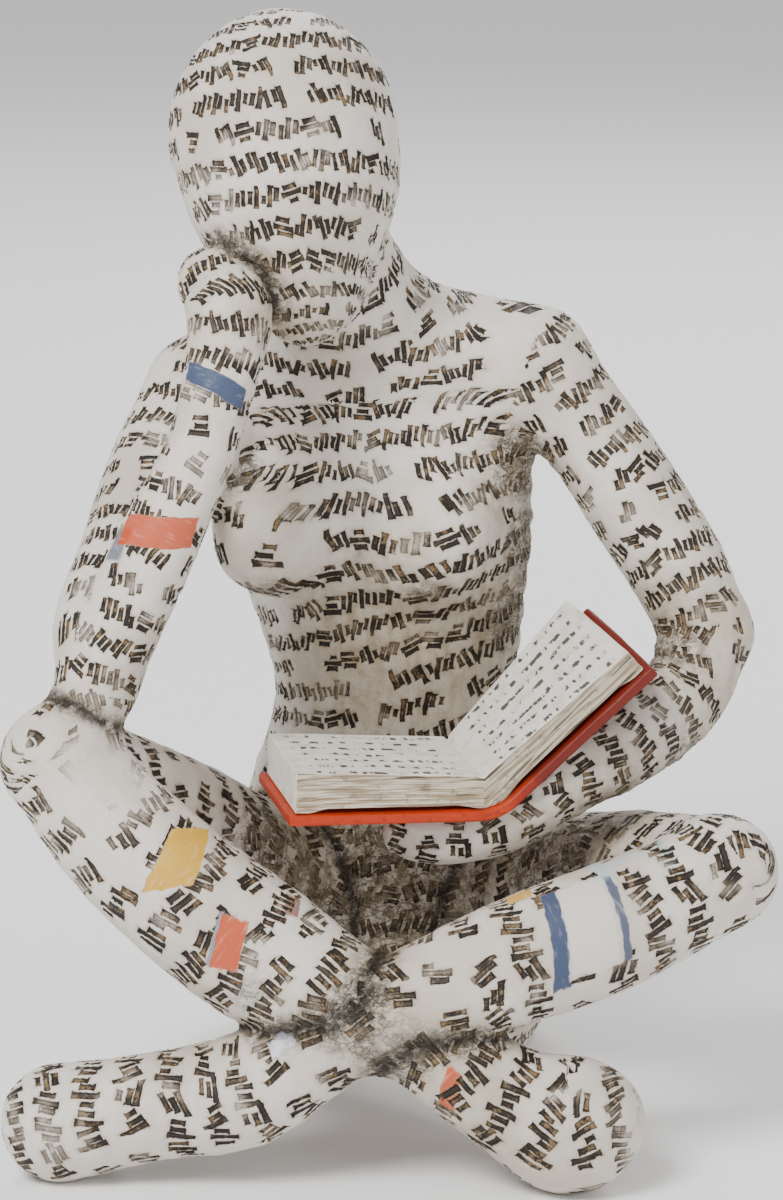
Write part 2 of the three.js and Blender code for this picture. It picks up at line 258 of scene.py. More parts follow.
PALM_LEFT = [(17, -33, 60.5, 5), (6, -31, 58.5, 4.6)]

LEG_LETTER = (4.7, 7.3)  # the strokes on her legs are larger
TOP = (0, 0, 1)
# The limbs in the order in which they flow together. A limb without rows of its own is
# covered by the rows of the one that it names.
LIMBS = {
    "trunk": Limb(TRUNK, 1, lean=0.2),
    "shoulders": Limb(SHOULDERS, 8, rows="trunk"),
    "buttock_right": Limb(BUTTOCKS[:1], 8, rows="trunk"),
    "buttock_left": Limb(BUTTOCKS[1:], 8, rows="trunk"),
    "breast_right": Limb(BREASTS[:1], 8, rows="trunk"),
    "breast_left": Limb(BREASTS[1:], 8, rows="trunk"),
    "neck": Limb(NECK, 8),
    "upper_arm_right": Limb(UPPER_ARM_RIGHT, 6),
    "upper_arm_left": Limb(UPPER_ARM_LEFT, 6),
    "thigh_right": Limb(THIGH_RIGHT, 8, front=TOP, letter=LEG_LETTER),
    "thigh_left": Limb(THIGH_LEFT, 8, front=TOP, letter=LEG_LETTER),
    "head": Limb(HEAD, 3, letter=(3.9, 5.6), lean=-0.06, guide=HEAD_GUIDE),
    "shin_right": Limb(SHIN_RIGHT, 2.5, letter=LEG_LETTER),
    "shin_left": Limb(SHIN_LEFT, 2.5, letter=LEG_LETTER),
    "forearm_right": Limb(FOREARM_RIGHT, 2.5),
    "forearm_left": Limb(FOREARM_LEFT, 2.5),
    "palm_left": Limb(PALM_LEFT, 6, rows="forearm_left"),
}
COVERED = [name for name, limb in LIMBS.items() if limb.rows is None]
# Limbs that run into each other smoothly, so that no crease parts them.
SMOOTH = [
    {"trunk", "neck", "head", "upper_arm_right", "upper_arm_left"},
    {"upper_arm_right", "forearm_right"}, {"upper_arm_left", "forearm_left"},
    {"thigh_right", "shin_right"}, {"thigh_left", "shin_left"},
]


def join(a, b, fillet):
    """The lesser of two distances, rounded over a fillet: less h squared fillet / 4, where h is
    how near the two are to each other, in fillets, taken from 1."""
    h = np.maximum(fillet - np.abs(a - b), 0) / fillet
    return np.minimum(a, b) - h * h * fillet / 4


def skin_distance(points):
    """The distance to her skin: the limbs joined in order, each over its own fillet."""
    body = np.full(len(points), FAR)
    for name, limb in LIMBS.items():
        if name == "palm_left":
            continue
        d = limb.distance(points)[0]
        if name == "forearm_left":
            d = join(d, LIMBS["palm_left"].distance(points)[0], LIMBS["palm_left"].fillet)
        body = join(body, d, limb.fillet)
    return body


def covering(points):
    """For each point the number of the limb whose rows cover it, that limb's nearest span, and
    how near a crease between two covers is, in millimetres."""
    least = np.full((len(COVERED), len(points)), FAR)
    spans = np.zeros((len(COVERED), len(points)), int)
    for name, limb in LIMBS.items():
        row = COVERED.index(limb.rows or name)
        d, span = limb.distance(points)
        least[row] = np.minimum(least[row], d)
        if limb.rows is None:
            spans[row] = span
    first = np.argmin(least, axis=0)
    own = least[first, np.arange(len(points))]
    creased = np.array(
        [[not any({a, b} <= run for run in SMOOTH) and a != b for b in COVERED] for a in COVERED]
    )
    other = np.where(creased[first].T, least, FAR).min(axis=0)
    return first, spans, other - own


class Noise:
    """Smooth seeded noise: values at the corners of a cubic lattice, eased between them."""

    SIZE = 32

    def __init__(self, seed):
        self.lattice = np.random.default_rng(seed).uniform(-1, 1, (self.SIZE,) * 3)

    def at(self, points, grain):
        """Noise from -1 to 1 at points, with lumps about as large as grain."""
        q = points / grain
        cell = np.floor(q).astype(int)
        t = q - cell
        t = t * t * (3 - 2 * t)
        total = np.zeros(len(points))
        for corner in np.ndindex(2, 2, 2):
            share = np.prod(np.where(corner, t, 1 - t), axis=1)
            i, j, k = ((cell + corner) % self.SIZE).T
            total += share * self.lattice[i, j, k]
        return total

    def ridges(self, points, grain):
        """Sharp ridges: 1 on a ridge and falling to 0 between, where the noise crosses zero."""
        return 1 - np.abs(self.at(points, grain)) * 2


# One stroke of a mark: each value is a start, what a draw from 0 to 1 adds to it, the number
# that the draw is made with, and whether the draw is only 0 or 1. Lengths are millimetres in
# a standard cell. The strokes of a mark lie side by side at one slant and never touch.
CELL = (3.75, 5.7)
STROKES = [
    {
        "across": (-1.3, 0.2, 5, 0), "up": (-0.2, 0.4, 7, 0),
        "half": (1.95, -0.75, 23, 1), "thick": 0.41,
    },
    {
        "across": (-0.1, 0.2, 31, 0), "up": (-0.3, 0.6, 47, 0),
        "half": (1.1, 0.8, 23, 1), "thick": 0.37,
    },
    {
        "across": (1.15, 0.2, 67, 0), "up": (-0.8, 1.6, 13, 0),
        "half": (0.6, 1.0, 29, 0), "thick": 0.33,
    },
]
SLANT = (9, 12, 53, 0)  # degrees from upright, to one side or the other
LEFTWARD = (-1, 2, 41, 1)
LYING = (0, 1, 61, 0)  # a mark whose draw is over LYING_SHARE lies on its side
LYING_SHARE = 0.8
FLARE = 0.12  # how much thicker a stroke is at its ends
FLARE_FROM = 0.55  # the share of a stroke's half length at which it starts to flare
NO_MARK = 9.0  # the distance given where there is no stroke
DRAWS = 97  # how many marks there are
BLANK = 0.11  # share of the cells that are left blank
ROW_SHIFT = 0.382  # how far each row's cells are set over from the row before


def mark_distance(cells, rows):
    """The distance to the nearest stroke of the mark in a cell, negative inside it. The cell's
    two whole numbers, squared, multiplied and added, leave a remainder that draws the mark."""
    row = np.floor(rows)
    shifted = cells + np.mod(row * ROW_SHIFT, 1) + 64
    column = np.floor(shifted)
    x = (shifted - column - 0.5) * CELL[0]
    y = (rows - row - 0.5) * CELL[1]
    draw = np.mod(column * column * 3 + column * row * 5 + row * 17 + column * 29, DRAWS) + 1

    def value(start, extra, number, either):
        share = np.mod(draw * number, DRAWS) / DRAWS
        return start + extra * (share >= 0.5 if either else share)

    lying = value(*LYING) > LYING_SHARE
    x, y = np.where(lying, y, x), np.where(lying, x, y)
    turn = np.radians(value(*SLANT) * value(*LEFTWARD))
    least = np.full(len(x), NO_MARK)
    for stroke in STROKES:
        dx, dy = x - value(*stroke["across"]), y - value(*stroke["up"])
        along = np.abs(dx * np.sin(turn) + dy * np.cos(turn))
        aside = np.abs(dx * np.cos(turn) - dy * np.sin(turn))
        half = value(*stroke["half"])
        thick = stroke["thick"] + FLARE * ease(FLARE_FROM, 1, along / half)
        least = np.minimum(least, np.maximum(along - half, aside - thick))
    return np.where(np.mod(draw * 59, DRAWS) / DRAWS < BLANK, NO_MARK, least)


def rows_of(points, name, spans, beside=None):
    """The row coordinates of points on a limb: how many cells round it and how many rows along
    it. Both wander a little, and each limb starts at its own row. With beside, the angle round
    the limb is taken on the same turn as that of beside."""
    limb = LIMBS[name]
    along, angle, radius = limb.guide.place(points, spans)
    if beside is not None:
        angle = angle + 2 * math.pi * np.round((beside - angle) / (2 * math.pi))
    around = limb.guide.arc(angle, radius)
    lean = limb.lean
    if name == "trunk":
        lean = limb.lean * ease(104, 84, points[:, 2])
    along = along - lean * around
    cells = around / limb.letter[0] + 0.12 * WANDER.at(points, 13)
    rows = along / limb.letter[1] + 0.10 * WANDER.at(points + 71, 17)
    return cells, rows + 40 * (1 + COVERED.index(name))


WANDER = Noise(3)
CRUMPLE = Noise(5)

# Where the paper is rucked: a place, its reach and how strongly.
RUCKED = [
    (24, 3, 116, 10, 0.9), (26, 4, 102, 11, 0.8), (25, 4, 88, 11, 0.6), (-30, 2, 114, 9, 0.9),
    (-8, -12, 103, 6, 0.5), (-24, -12, 93, 8, 0.5), (8, -14, 93, 8, 0.5),
    (52, -12, 84, 10, 0.9), (46, -20, 70, 12, 0.9), (34, -30, 62, 12, 0.7), (48, 6, 96, 8, 0.6),
    (-24, -14, 150, 8, 0.8), (-30, -22, 130, 9, 0.3), (-46, -34, 96, 6, 0.4),
    (0, -14, 40, 24, 1.0), (-22, -18, 46, 16, 0.9), (28, -22, 44, 16, 0.9),
    (-40, -56, 52, 9, 0.5), (-24, -64, 38, 9, 0.4), (-12, -62, 30, 9, 0.5), (12, -56, 30, 9, 0.7),
    (0, 30, 60, 20, 0.4), (30, 34, 22, 18, 0.5), (-30, 34, 22, 18, 0.5), (0, 26, 112, 14, 0.4),
]
# Where brown is painted on flat paper: wash, and painted shade on belly, lap, sides and undersides.
WASHED_AND_SHADED = [
    (0, -8, 78, 30, 1.0), (22, 0, 92, 19, 1.0), (22, 0, 112, 14, 0.7), (-16, -6, 78, 18, 0.9),
    (52, -10, 82, 20, 0.9), (36, -28, 62, 20, 0.9), (0, -14, 40, 34, 1.0), (50, 0, 104, 14, 0.5),
    (-22, -28, 148, 12, 0.6), (-36, -38, 118, 10, 0.3), (-46, -20, 104, 12, 0.3),
    (0, 10, 132, 12, 0.4),
    (16, -62, 14, 14, 0.5), (-20, -46, 26, 16, 0.6), (0, 34, 40, 30, 0.6), (-12, -10, 158, 8, 0.4),
]
# Where the paper is smooth and bare.
BARE = [
    (-50, -55, 73, 12, 1.0), (44, -62, 12, 10, 1.0), (-33, -40, 138, 6, 0.6),
    (-33, -42, 124, 7, 0.7),
]


class Patch:
    """A patch of paint, or a bare place, on the rows of a limb. It spans cells round the limb and
    rows along it; lean slants its long edges and its ends."""

    def __init__(self, limb, cells, rows, colour, lean=(0.0, 0.0), cover=0.92, soft=0.12,
                 hides=True):
        self.limb = limb
        self.cells = cells
        self.rows = rows
        self.colour = colour
        self.lean = lean
        self.cover = cover
        self.soft = soft
        self.hides = hides

    def share(self, cells, rows):
        """1 inside the patch and 0 outside."""
        row = rows - self.lean[0] * cells
        cell = cells + self.lean[1] * (row - self.rows[0])
        inside = np.minimum(
            np.minimum(cell - self.cells[0], self.cells[1] - cell),
            3 * np.minimum(row - self.rows[0], self.rows[1] - row),
        )
        return ease(-self.soft, self.soft, inside)


PATCHES = [
    Patch("forearm_right", (-1.95, 1.45), (409.48, 410.08), "blue", (-0.15, 0.0)),
    Patch("forearm_right", (-2.7, -1.5), (404.25, 405.3), "blue", (0.24, 0.0), 0.75, 0.4),
    Patch("forearm_right", (-2.1, 1.6), (404.75, 405.75), "orange", (0.24, 0.3)),
    Patch("shin_right", (-2.2, 0.5), (323.6, 324.6), "yellow", (0.18, 1.6)),
    Patch("shin_right", (-0.9, 1.05), (325.5, 325.62), "slate", (0.25, 0.6), 0.8),
    Patch("shin_right", (-0.85, 1.0), (325.6, 326.38), "orange", (0.25, 0.6)),
    Patch("shin_right", (-3.5, -2.4), (327.3, 327.75), "red", (0.25, 0.5), 0.8, 0.2, False),
    Patch("shin_left", (-1.05, 3.15), (364.58, 364.98), "blue", (-0.1, 0.0)),
    Patch("shin_left", (-0.75, 2.7), (363.2, 363.48), "blue", (-0.1, 0.0), 0.85),
    Patch("shin_left", (-0.8, 3.0), (363.4, 364.62), "paper", (-0.1, 0.0), 0.8),
    Patch("shin_left", (2.65, 4.3), (363.1, 363.6), "pale_blue", (-0.1, 0.0), 0.5, 0.5, False),
    Patch("shin_left", (1.7, 3.4), (361.5, 361.78), "pale_blue", (-0.1, 0.0), 0.5, 0.4, False),
    Patch("shin_left", (3.0, 3.5), (361.5, 363.2), "pale_blue", (-0.1, 0.0), 0.35, 0.4, False),
    Patch("shin_left", (3.25, 4.1), (365.1, 365.7), "yellow", (-0.1, 0.0), 0.85),
    Patch("shin_right", (-0.1, 1.5), (331.9, 332.34), "orange", (0.25, 0.3), 0.9, 0.15, False),
    Patch("shin_left", (1.1, 1.75), (370.8, 371.4), "lilac", (0.0, 0.0), 0.8, 0.2),
]


def blobs(points, places):
    """The strongest of soft round spots: 1 well inside a spot and 0 beyond its reach."""
    most = np.zeros(len(points))
    for x, y, z, reach, strength in places:
        gone = np.linalg.norm(points - ORIGIN - (x, y, z), axis=1) / reach
        most = np.maximum(most, strength * (1 - ease(0.3, 1.25, gone)))
    return most


def zones(points, crease):
    """How rucked, how browned and how bare the paper is at each point; the brown is wash and
    painted shade. Rucks and the brown also run along creases."""
    near = 1 - ease(0.5, 6.0, crease)
    lumps = WANDER.at(points, 6)
    rucked = np.maximum(blobs(points, RUCKED), 0.7 * near)
    rucked = ease(0.2, 0.75, rucked + 0.25 * lumps)
    # Painted shade and wash: the brown is laid in blobs and along the creases between limbs.
    washed_and_shaded = np.maximum(blobs(points, WASHED_AND_SHADED), 0.8 * near)
    washed_and_shaded = np.clip(washed_and_shaded + 0.2 * lumps * (washed_and_shaded > 0.02), 0, 1)
    bare = blobs(points, BARE)
    return rucked * (1 - bare), washed_and_shaded * (1 - 0.7 * bare), bare


def relief(points, sizes):
    """How far each point of the skin is moved out, in millimetres: strokes pressed in, strips
    of paper a little thicker at one edge than at the other, and rucks."""
    first, spans, crease = covering(points)
    rucked, _, bare = zones(points, crease)
    out = np.zeros(len(points))
    for number, name in enumerate(COVERED):
        here = np.flatnonzero(first == number)
        if not len(here):
            continue
        cells, rows = rows_of(points[here], name, spans[number, here])
        pressed = ease(0.12, -0.12, mark_distance(cells, rows))
        for patch in PATCHES:
            if patch.limb == name and patch.hides:
                pressed = pressed * (1 - patch.share(cells, rows))
        strength = (1 - 0.6 * rucked[here]) * (1 - bare[here])
        out[here] -= sizes.stroke_depth * pressed * strength
        strip = rows - np.floor(rows)
        out[here] += sizes.strip_step * (strip - 0.5) * (1 - ease(0.9, 1, strip))
    folds = CRUMPLE.ridges(points * (1, 1, 1.6), 5.5) + 0.6 * CRUMPLE.ridges(points + 31, 2.6)
    fine = CRUMPLE.ridges(points + 57, 1.3)
    out += sizes.ruck_height * rucked * (0.6 * folds - 0.45 + 0.35 * fine)
    out += 0.14 * CRUMPLE.at(points, 10) * (1 - 0.5 * bare) + 0.05 * CRUMPLE.at(points + 13, 3.5)
    return out


def points_of(mesh):
    flat = np.empty(len(mesh.vertices) * 3, np.float32)
    mesh.vertices.foreach_get("co", flat)
    return flat.reshape(-1, 3).astype(float) / MM


def set_points(mesh, points):
    mesh.vertices.foreach_set("co", (points * MM).astype(np.float32).ravel())
    mesh.update()


def normals_of(mesh):
    flat = np.empty(len(mesh.vertices) * 3, np.float32)
    mesh.vertex_normals.foreach_get("vector", flat)
    return flat.reshape(-1, 3).astype(float)


def changed_by(mesh, kind, **settings):
    """The mesh after one modifier of a kind, applied."""
    carrier = bpy.data.objects.new("carrier", mesh)
    bpy.context.scene.collection.objects.link(carrier)
    modifier = carrier.modifiers.new("change", kind)
    for name, value in settings.items():
        setattr(modifier, name, value)
    depsgraph = bpy.context.evaluated_depsgraph_get()
    result = bpy.data.meshes.new_from_object(carrier.evaluated_get(depsgraph), depsgraph=depsgraph)
    bpy.data.objects.remove(carrier)
    return result


SLOPE_STEP = 0.05  # over which the field's slope is taken
MOST_MOVED = 1.4  # the furthest that a vertex moves from the solid as it settles
CUT_AWAY = -0.9  # where the solid lies deeper than this in the field, it was cut for the book


def skin_mesh(sizes):
    """Her skin: the solid's faces divided twice and settled on the field of the limbs, then
    evened out to small cells, embossed along its normals, and thinned where it is flat."""
    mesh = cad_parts["reading_woman"].data.copy()
    mesh = changed_by(mesh, "WELD", merge_threshold=0.01 * MM)
    mesh = changed_by(
        mesh, "SUBSURF", subdivision_type="SIMPLE", levels=2, render_levels=2
    )
    points = points_of(mesh)
    start = points.copy()
    standing = points[:, 2] < 0.02
    shift = SLOPE_STEP * np.eye(3)
    for _ in range(3):
        d = skin_distance(points)
        slope = np.column_stack([(skin_distance(points + s) - d) / SLOPE_STEP for s in shift])
        steep = np.maximum(dot(slope, slope), 0.2)
        points = points - (d / steep)[:, None] * slope
        moved = points - start
        far = np.linalg.norm(moved, axis=1) / MOST_MOVED
        points = start + moved / np.maximum(far, 1)[:, None]
    # What was cut away for the book and at the seat stays as the solid has it.
    kept = standing | (skin_distance(start) < CUT_AWAY)
    points[kept] = start[kept]
    points[:, 2] = np.maximum(points[:, 2], 0)
    set_points(mesh, points)
    cell = sizes.skin_cell * 1
    mesh = changed_by(mesh, "REMESH", mode="VOXEL", voxel_size=cell * MM, adaptivity=0.0)
    points = points_of(mesh)
    off_floor = ease(0.1, 1.2, points[:, 2])[:, None]
    points += relief(points, sizes)[:, None] * normals_of(mesh) * off_floor
    points[:, 2] = np.where(points[:, 2] < 0.3 * cell, 0, points[:, 2])
    set_points(mesh, points)
    triangles = 2 * len(mesh.polygons)
    if triangles > sizes.skin_triangles:
        mesh = changed_by(
            mesh, "DECIMATE", decimate_type="COLLAPSE", use_collapse_triangulate=True,
            ratio=sizes.skin_triangles / triangles,
        )
    return mesh


def corners_of(mesh):
    """The vertices at the corners of each triangle."""
    flat = np.empty(len(mesh.loops), np.int32)
    mesh.loops.foreach_get("vertex_index", flat)
    return flat.reshape(-1, 3)


def give_rows(mesh):
    """Writes where the rows run as a vector on every face corner: cells round, rows along. A
    whole face takes the limb that covers its middle."""
    points = points_of(mesh)
    corners = corners_of(mesh)
    middle = points[corners].mean(axis=1)
    first, spans, _ = covering(middle)
    vector = np.zeros((len(corners), 3, 3), np.float32)
    for number, name in enumerate(COVERED):
        faces = np.flatnonzero(first == number)
        if not len(faces):
            continue
        span = spans[number, faces]
        beside = LIMBS[name].guide.place(middle[faces], span)[1]
        for corner in range(3):
            cells, rows = rows_of(points[corners[faces, corner]], name, span, beside)
            vector[faces, corner, 0] = cells
            vector[faces, corner, 1] = rows
    attribute = mesh.attributes.new("paper_rows", "FLOAT_VECTOR", "CORNER")
    attribute.data.foreach_set("vector", vector.ravel())


def give_zones(mesh):
    """Writes rucks, brown wash with painted shade, bare paper and painted crease shade on every
    vertex.
    """
    points = points_of(mesh)
    crease = covering(points)[2]
    rucked, washed_and_shaded, bare = zones(points, crease)
    # Painted shade along the creases between limbs: 1 at a crease, falling to 0 at 2.6 mm from it.
    crease_shade = 1 - ease(0.2, 2.6, crease)
    for name, value in (("rucked", rucked), ("washed_and_shaded", washed_and_shaded), ("bare", bare), ("crease", crease_shade)):
        attribute = mesh.attributes.new(name, "FLOAT", "POINT")
        attribute.data.foreach_set("value", value.astype(np.float32))


class Finish:
    """The node tree of one material, with short ways to add its nodes."""

    def __init__(self, name):
        self.material = bpy.data.materials.new(name)
        self.material.use_nodes = True
        self.tree = self.material.node_tree
        self.surface = self.tree.nodes["Principled BSDF"]

    def put(self, socket, value):
        if isinstance(value, bpy.types.NodeSocket):
            self.tree.links.new(value, socket)
        else:
            socket.default_value = value

    def math(self, operation, *values, clamp=False):
        node = self.tree.nodes.new("ShaderNodeMath")
        node.operation = operation
        node.use_clamp = clamp
        for socket, value in zip(node.inputs, values):
            self.put(socket, value)
        return node.outputs[0]

    def plus(self, a, b):
        return self.math("ADD", a, b)

    def minus(self, a, b):
        return self.math("SUBTRACT", a, b)

    def times(self, a, b):
        return self.math("MULTIPLY", a, b)

    def ease(self, low, high, value):
        node = self.tree.nodes.new("ShaderNodeMapRange")
        node.interpolation_type = "SMOOTHSTEP"
        flipped = low > high
        self.put(node.inputs["Value"], value)
        self.put(node.inputs["From Min"], min(low, high))
        self.put(node.inputs["From Max"], max(low, high))
        self.put(node.inputs["To Min"], 1.0 if flipped else 0.0)
        self.put(node.inputs["To Max"], 0.0 if flipped else 1.0)
        return node.outputs["Result"]

    def mix(self, share, a, b, blend="MIX"):
        node = self.tree.nodes.new("ShaderNodeMix")
        node.data_type = "RGBA"
        node.blend_type = blend
        self.put(node.inputs[0], share)
        for socket, value in ((node.inputs[6], a), (node.inputs[7], b)):
            self.put(socket, value if isinstance(value, bpy.types.NodeSocket) else (*value[:3], 1))
        return node.outputs[2]

    def attribute(self, name, output="Fac"):
        node = self.tree.nodes.new("ShaderNodeAttribute")
        node.attribute_name = name
        return node.outputs[output]

    def place(self):
        """The point in millimetres."""
        node = self.tree.nodes.new("ShaderNodeTexCoord")
        scaled = self.tree.nodes.new("ShaderNodeVectorMath")
        scaled.operation = "SCALE"
        self.put(scaled.inputs[0], node.outputs["Object"])
        scaled.inputs["Scale"].default_value = 1 / MM
        return scaled.outputs[0]

    def stretched(self, vector, scale, turn=(0, 0, 0)):
        node = self.tree.nodes.new("ShaderNodeMapping")
        node.inputs["Scale"].default_value = scale
        node.inputs["Rotation"].default_value = turn
        self.put(node.inputs["Vector"], vector)
        return node.outputs[0]

    def noise(self, vector, grain, detail=3.0, rough=0.55):
        """Noise with lumps about as large as grain, in millimetres."""
        node = self.tree.nodes.new("ShaderNodeTexNoise")
        node.inputs["Scale"].default_value = 1 / grain
        node.inputs["Detail"].default_value = detail
        node.inputs["Roughness"].default_value = rough
        self.put(node.inputs["Vector"], vector)
        return node.outputs["Fac"]

    def split(self, vector):
        node = self.tree.nodes.new("ShaderNodeSeparateXYZ")
        self.put(node.inputs[0], vector)
        return node.outputs[0], node.outputs[1], node.outputs[2]

    def combine(self, x, y):
        node = self.tree.nodes.new("ShaderNodeCombineXYZ")
        self.put(node.inputs[0], x)
        self.put(node.inputs[1], y)
        return node.outputs[0]

    def bump(self, height, distance, strength):
        node = self.tree.nodes.new("ShaderNodeBump")
        node.inputs["Strength"].default_value = strength
        node.inputs["Distance"].default_value = distance * MM
        self.put(node.inputs["Height"], height)
        return node.outputs[0]

    def finish(self, colour, roughness, normal=None, specular=0.35):
        self.put(self.surface.inputs["Base Color"], colour)
        self.put(self.surface.inputs["Roughness"], roughness)
        self.surface.inputs["Specular IOR Level"].default_value = specular
        if normal is not None:
            self.put(self.surface.inputs["Normal"], normal)
        return self.material


def stroke_nodes(finish, cells, rows):
    """The same distance as mark_distance, as nodes, and how far up its cell a point is."""
    f = finish
    row = f.math("FLOOR", rows)
    shifted = f.plus(f.plus(cells, f.math("FRACT", f.times(row, ROW_SHIFT))), 64.0)
    column = f.math("FLOOR", shifted)
    x = f.times(f.minus(f.minus(shifted, column), 0.5), CELL[0])
    y = f.times(f.minus(f.minus(rows, row), 0.5), CELL[1])
    mixed = f.plus(
        f.times(column, f.plus(f.times(column, 3.0), f.times(row, 5.0))),
        f.plus(f.times(row, 17.0), f.times(column, 29.0)),
    )
    draw = f.plus(f.math("MODULO", mixed, float(DRAWS)), 1.0)

    def value(start, extra, number, either):
        share = f.times(f.math("MODULO", f.times(draw, float(number)), float(DRAWS)), 1 / DRAWS)
        if either:
            share = f.math("GREATER_THAN", share, 0.4999)
        return f.plus(f.times(share, extra), start)

    lying = f.math("GREATER_THAN", value(*LYING), LYING_SHARE)
    swap = f.times(f.minus(y, x), lying)
    tall, x, y = y, f.plus(x, swap), f.minus(y, swap)
    turn = f.math("RADIANS", f.times(value(*SLANT), value(*LEFTWARD)))
    sine, cosine = f.math("SINE", turn), f.math("COSINE", turn)
    least = None
    for stroke in STROKES:
        dx = f.minus(x, value(*stroke["across"]))
        dy = f.minus(y, value(*stroke["up"]))
        along = f.math("ABSOLUTE", f.plus(f.times(dx, sine), f.times(dy, cosine)))
        aside = f.math("ABSOLUTE", f.minus(f.times(dx, cosine), f.times(dy, sine)))
        half = value(*stroke["half"])
        flare = f.ease(FLARE_FROM, 1.0, f.math("DIVIDE", along, half))
        thick = f.plus(f.times(flare, FLARE), stroke["thick"])
        here = f.math("MAXIMUM", f.minus(along, half), f.minus(aside, thick))
        least = here if least is None else f.math("MINIMUM", least, here)
    share = f.times(f.math("MODULO", f.times(draw, 59.0), float(DRAWS)), 1 / DRAWS)
    blank = f.math("LESS_THAN", share, BLANK)
    return f.plus(least, f.times(blank, NO_MARK)), tall


def paint(red, green, blue):
    """A colour given as it looks on a screen, 0 to 255, as the light that it reflects."""
    shares = (c / 255 for c in (red, green, blue))
    return tuple(((s + 0.055) / 1.055) ** 2.4 if s > 0.0393 else s / 12.92 for s in shares)


def patch_nodes(finish, cells, rows, grain, patch):
    """The same share as a patch's own, as nodes, with an edge frayed by the brush."""
    f = finish
    row = f.minus(rows, f.times(cells, patch.lean[0]))
    cell = f.plus(cells, f.times(f.minus(row, patch.rows[0]), patch.lean[1]))
    ends = f.math("MINIMUM", f.minus(cell, patch.cells[0]), f.minus(patch.cells[1], cell))
    edges = f.math("MINIMUM", f.minus(row, patch.rows[0]), f.minus(patch.rows[1], row))
    inside = f.math("MINIMUM", ends, f.times(edges, 3.0))
    frayed = f.plus(inside, f.times(f.minus(grain, 0.5), 0.5))
    return f.ease(-patch.soft * 0.5, patch.soft * 0.5, frayed)


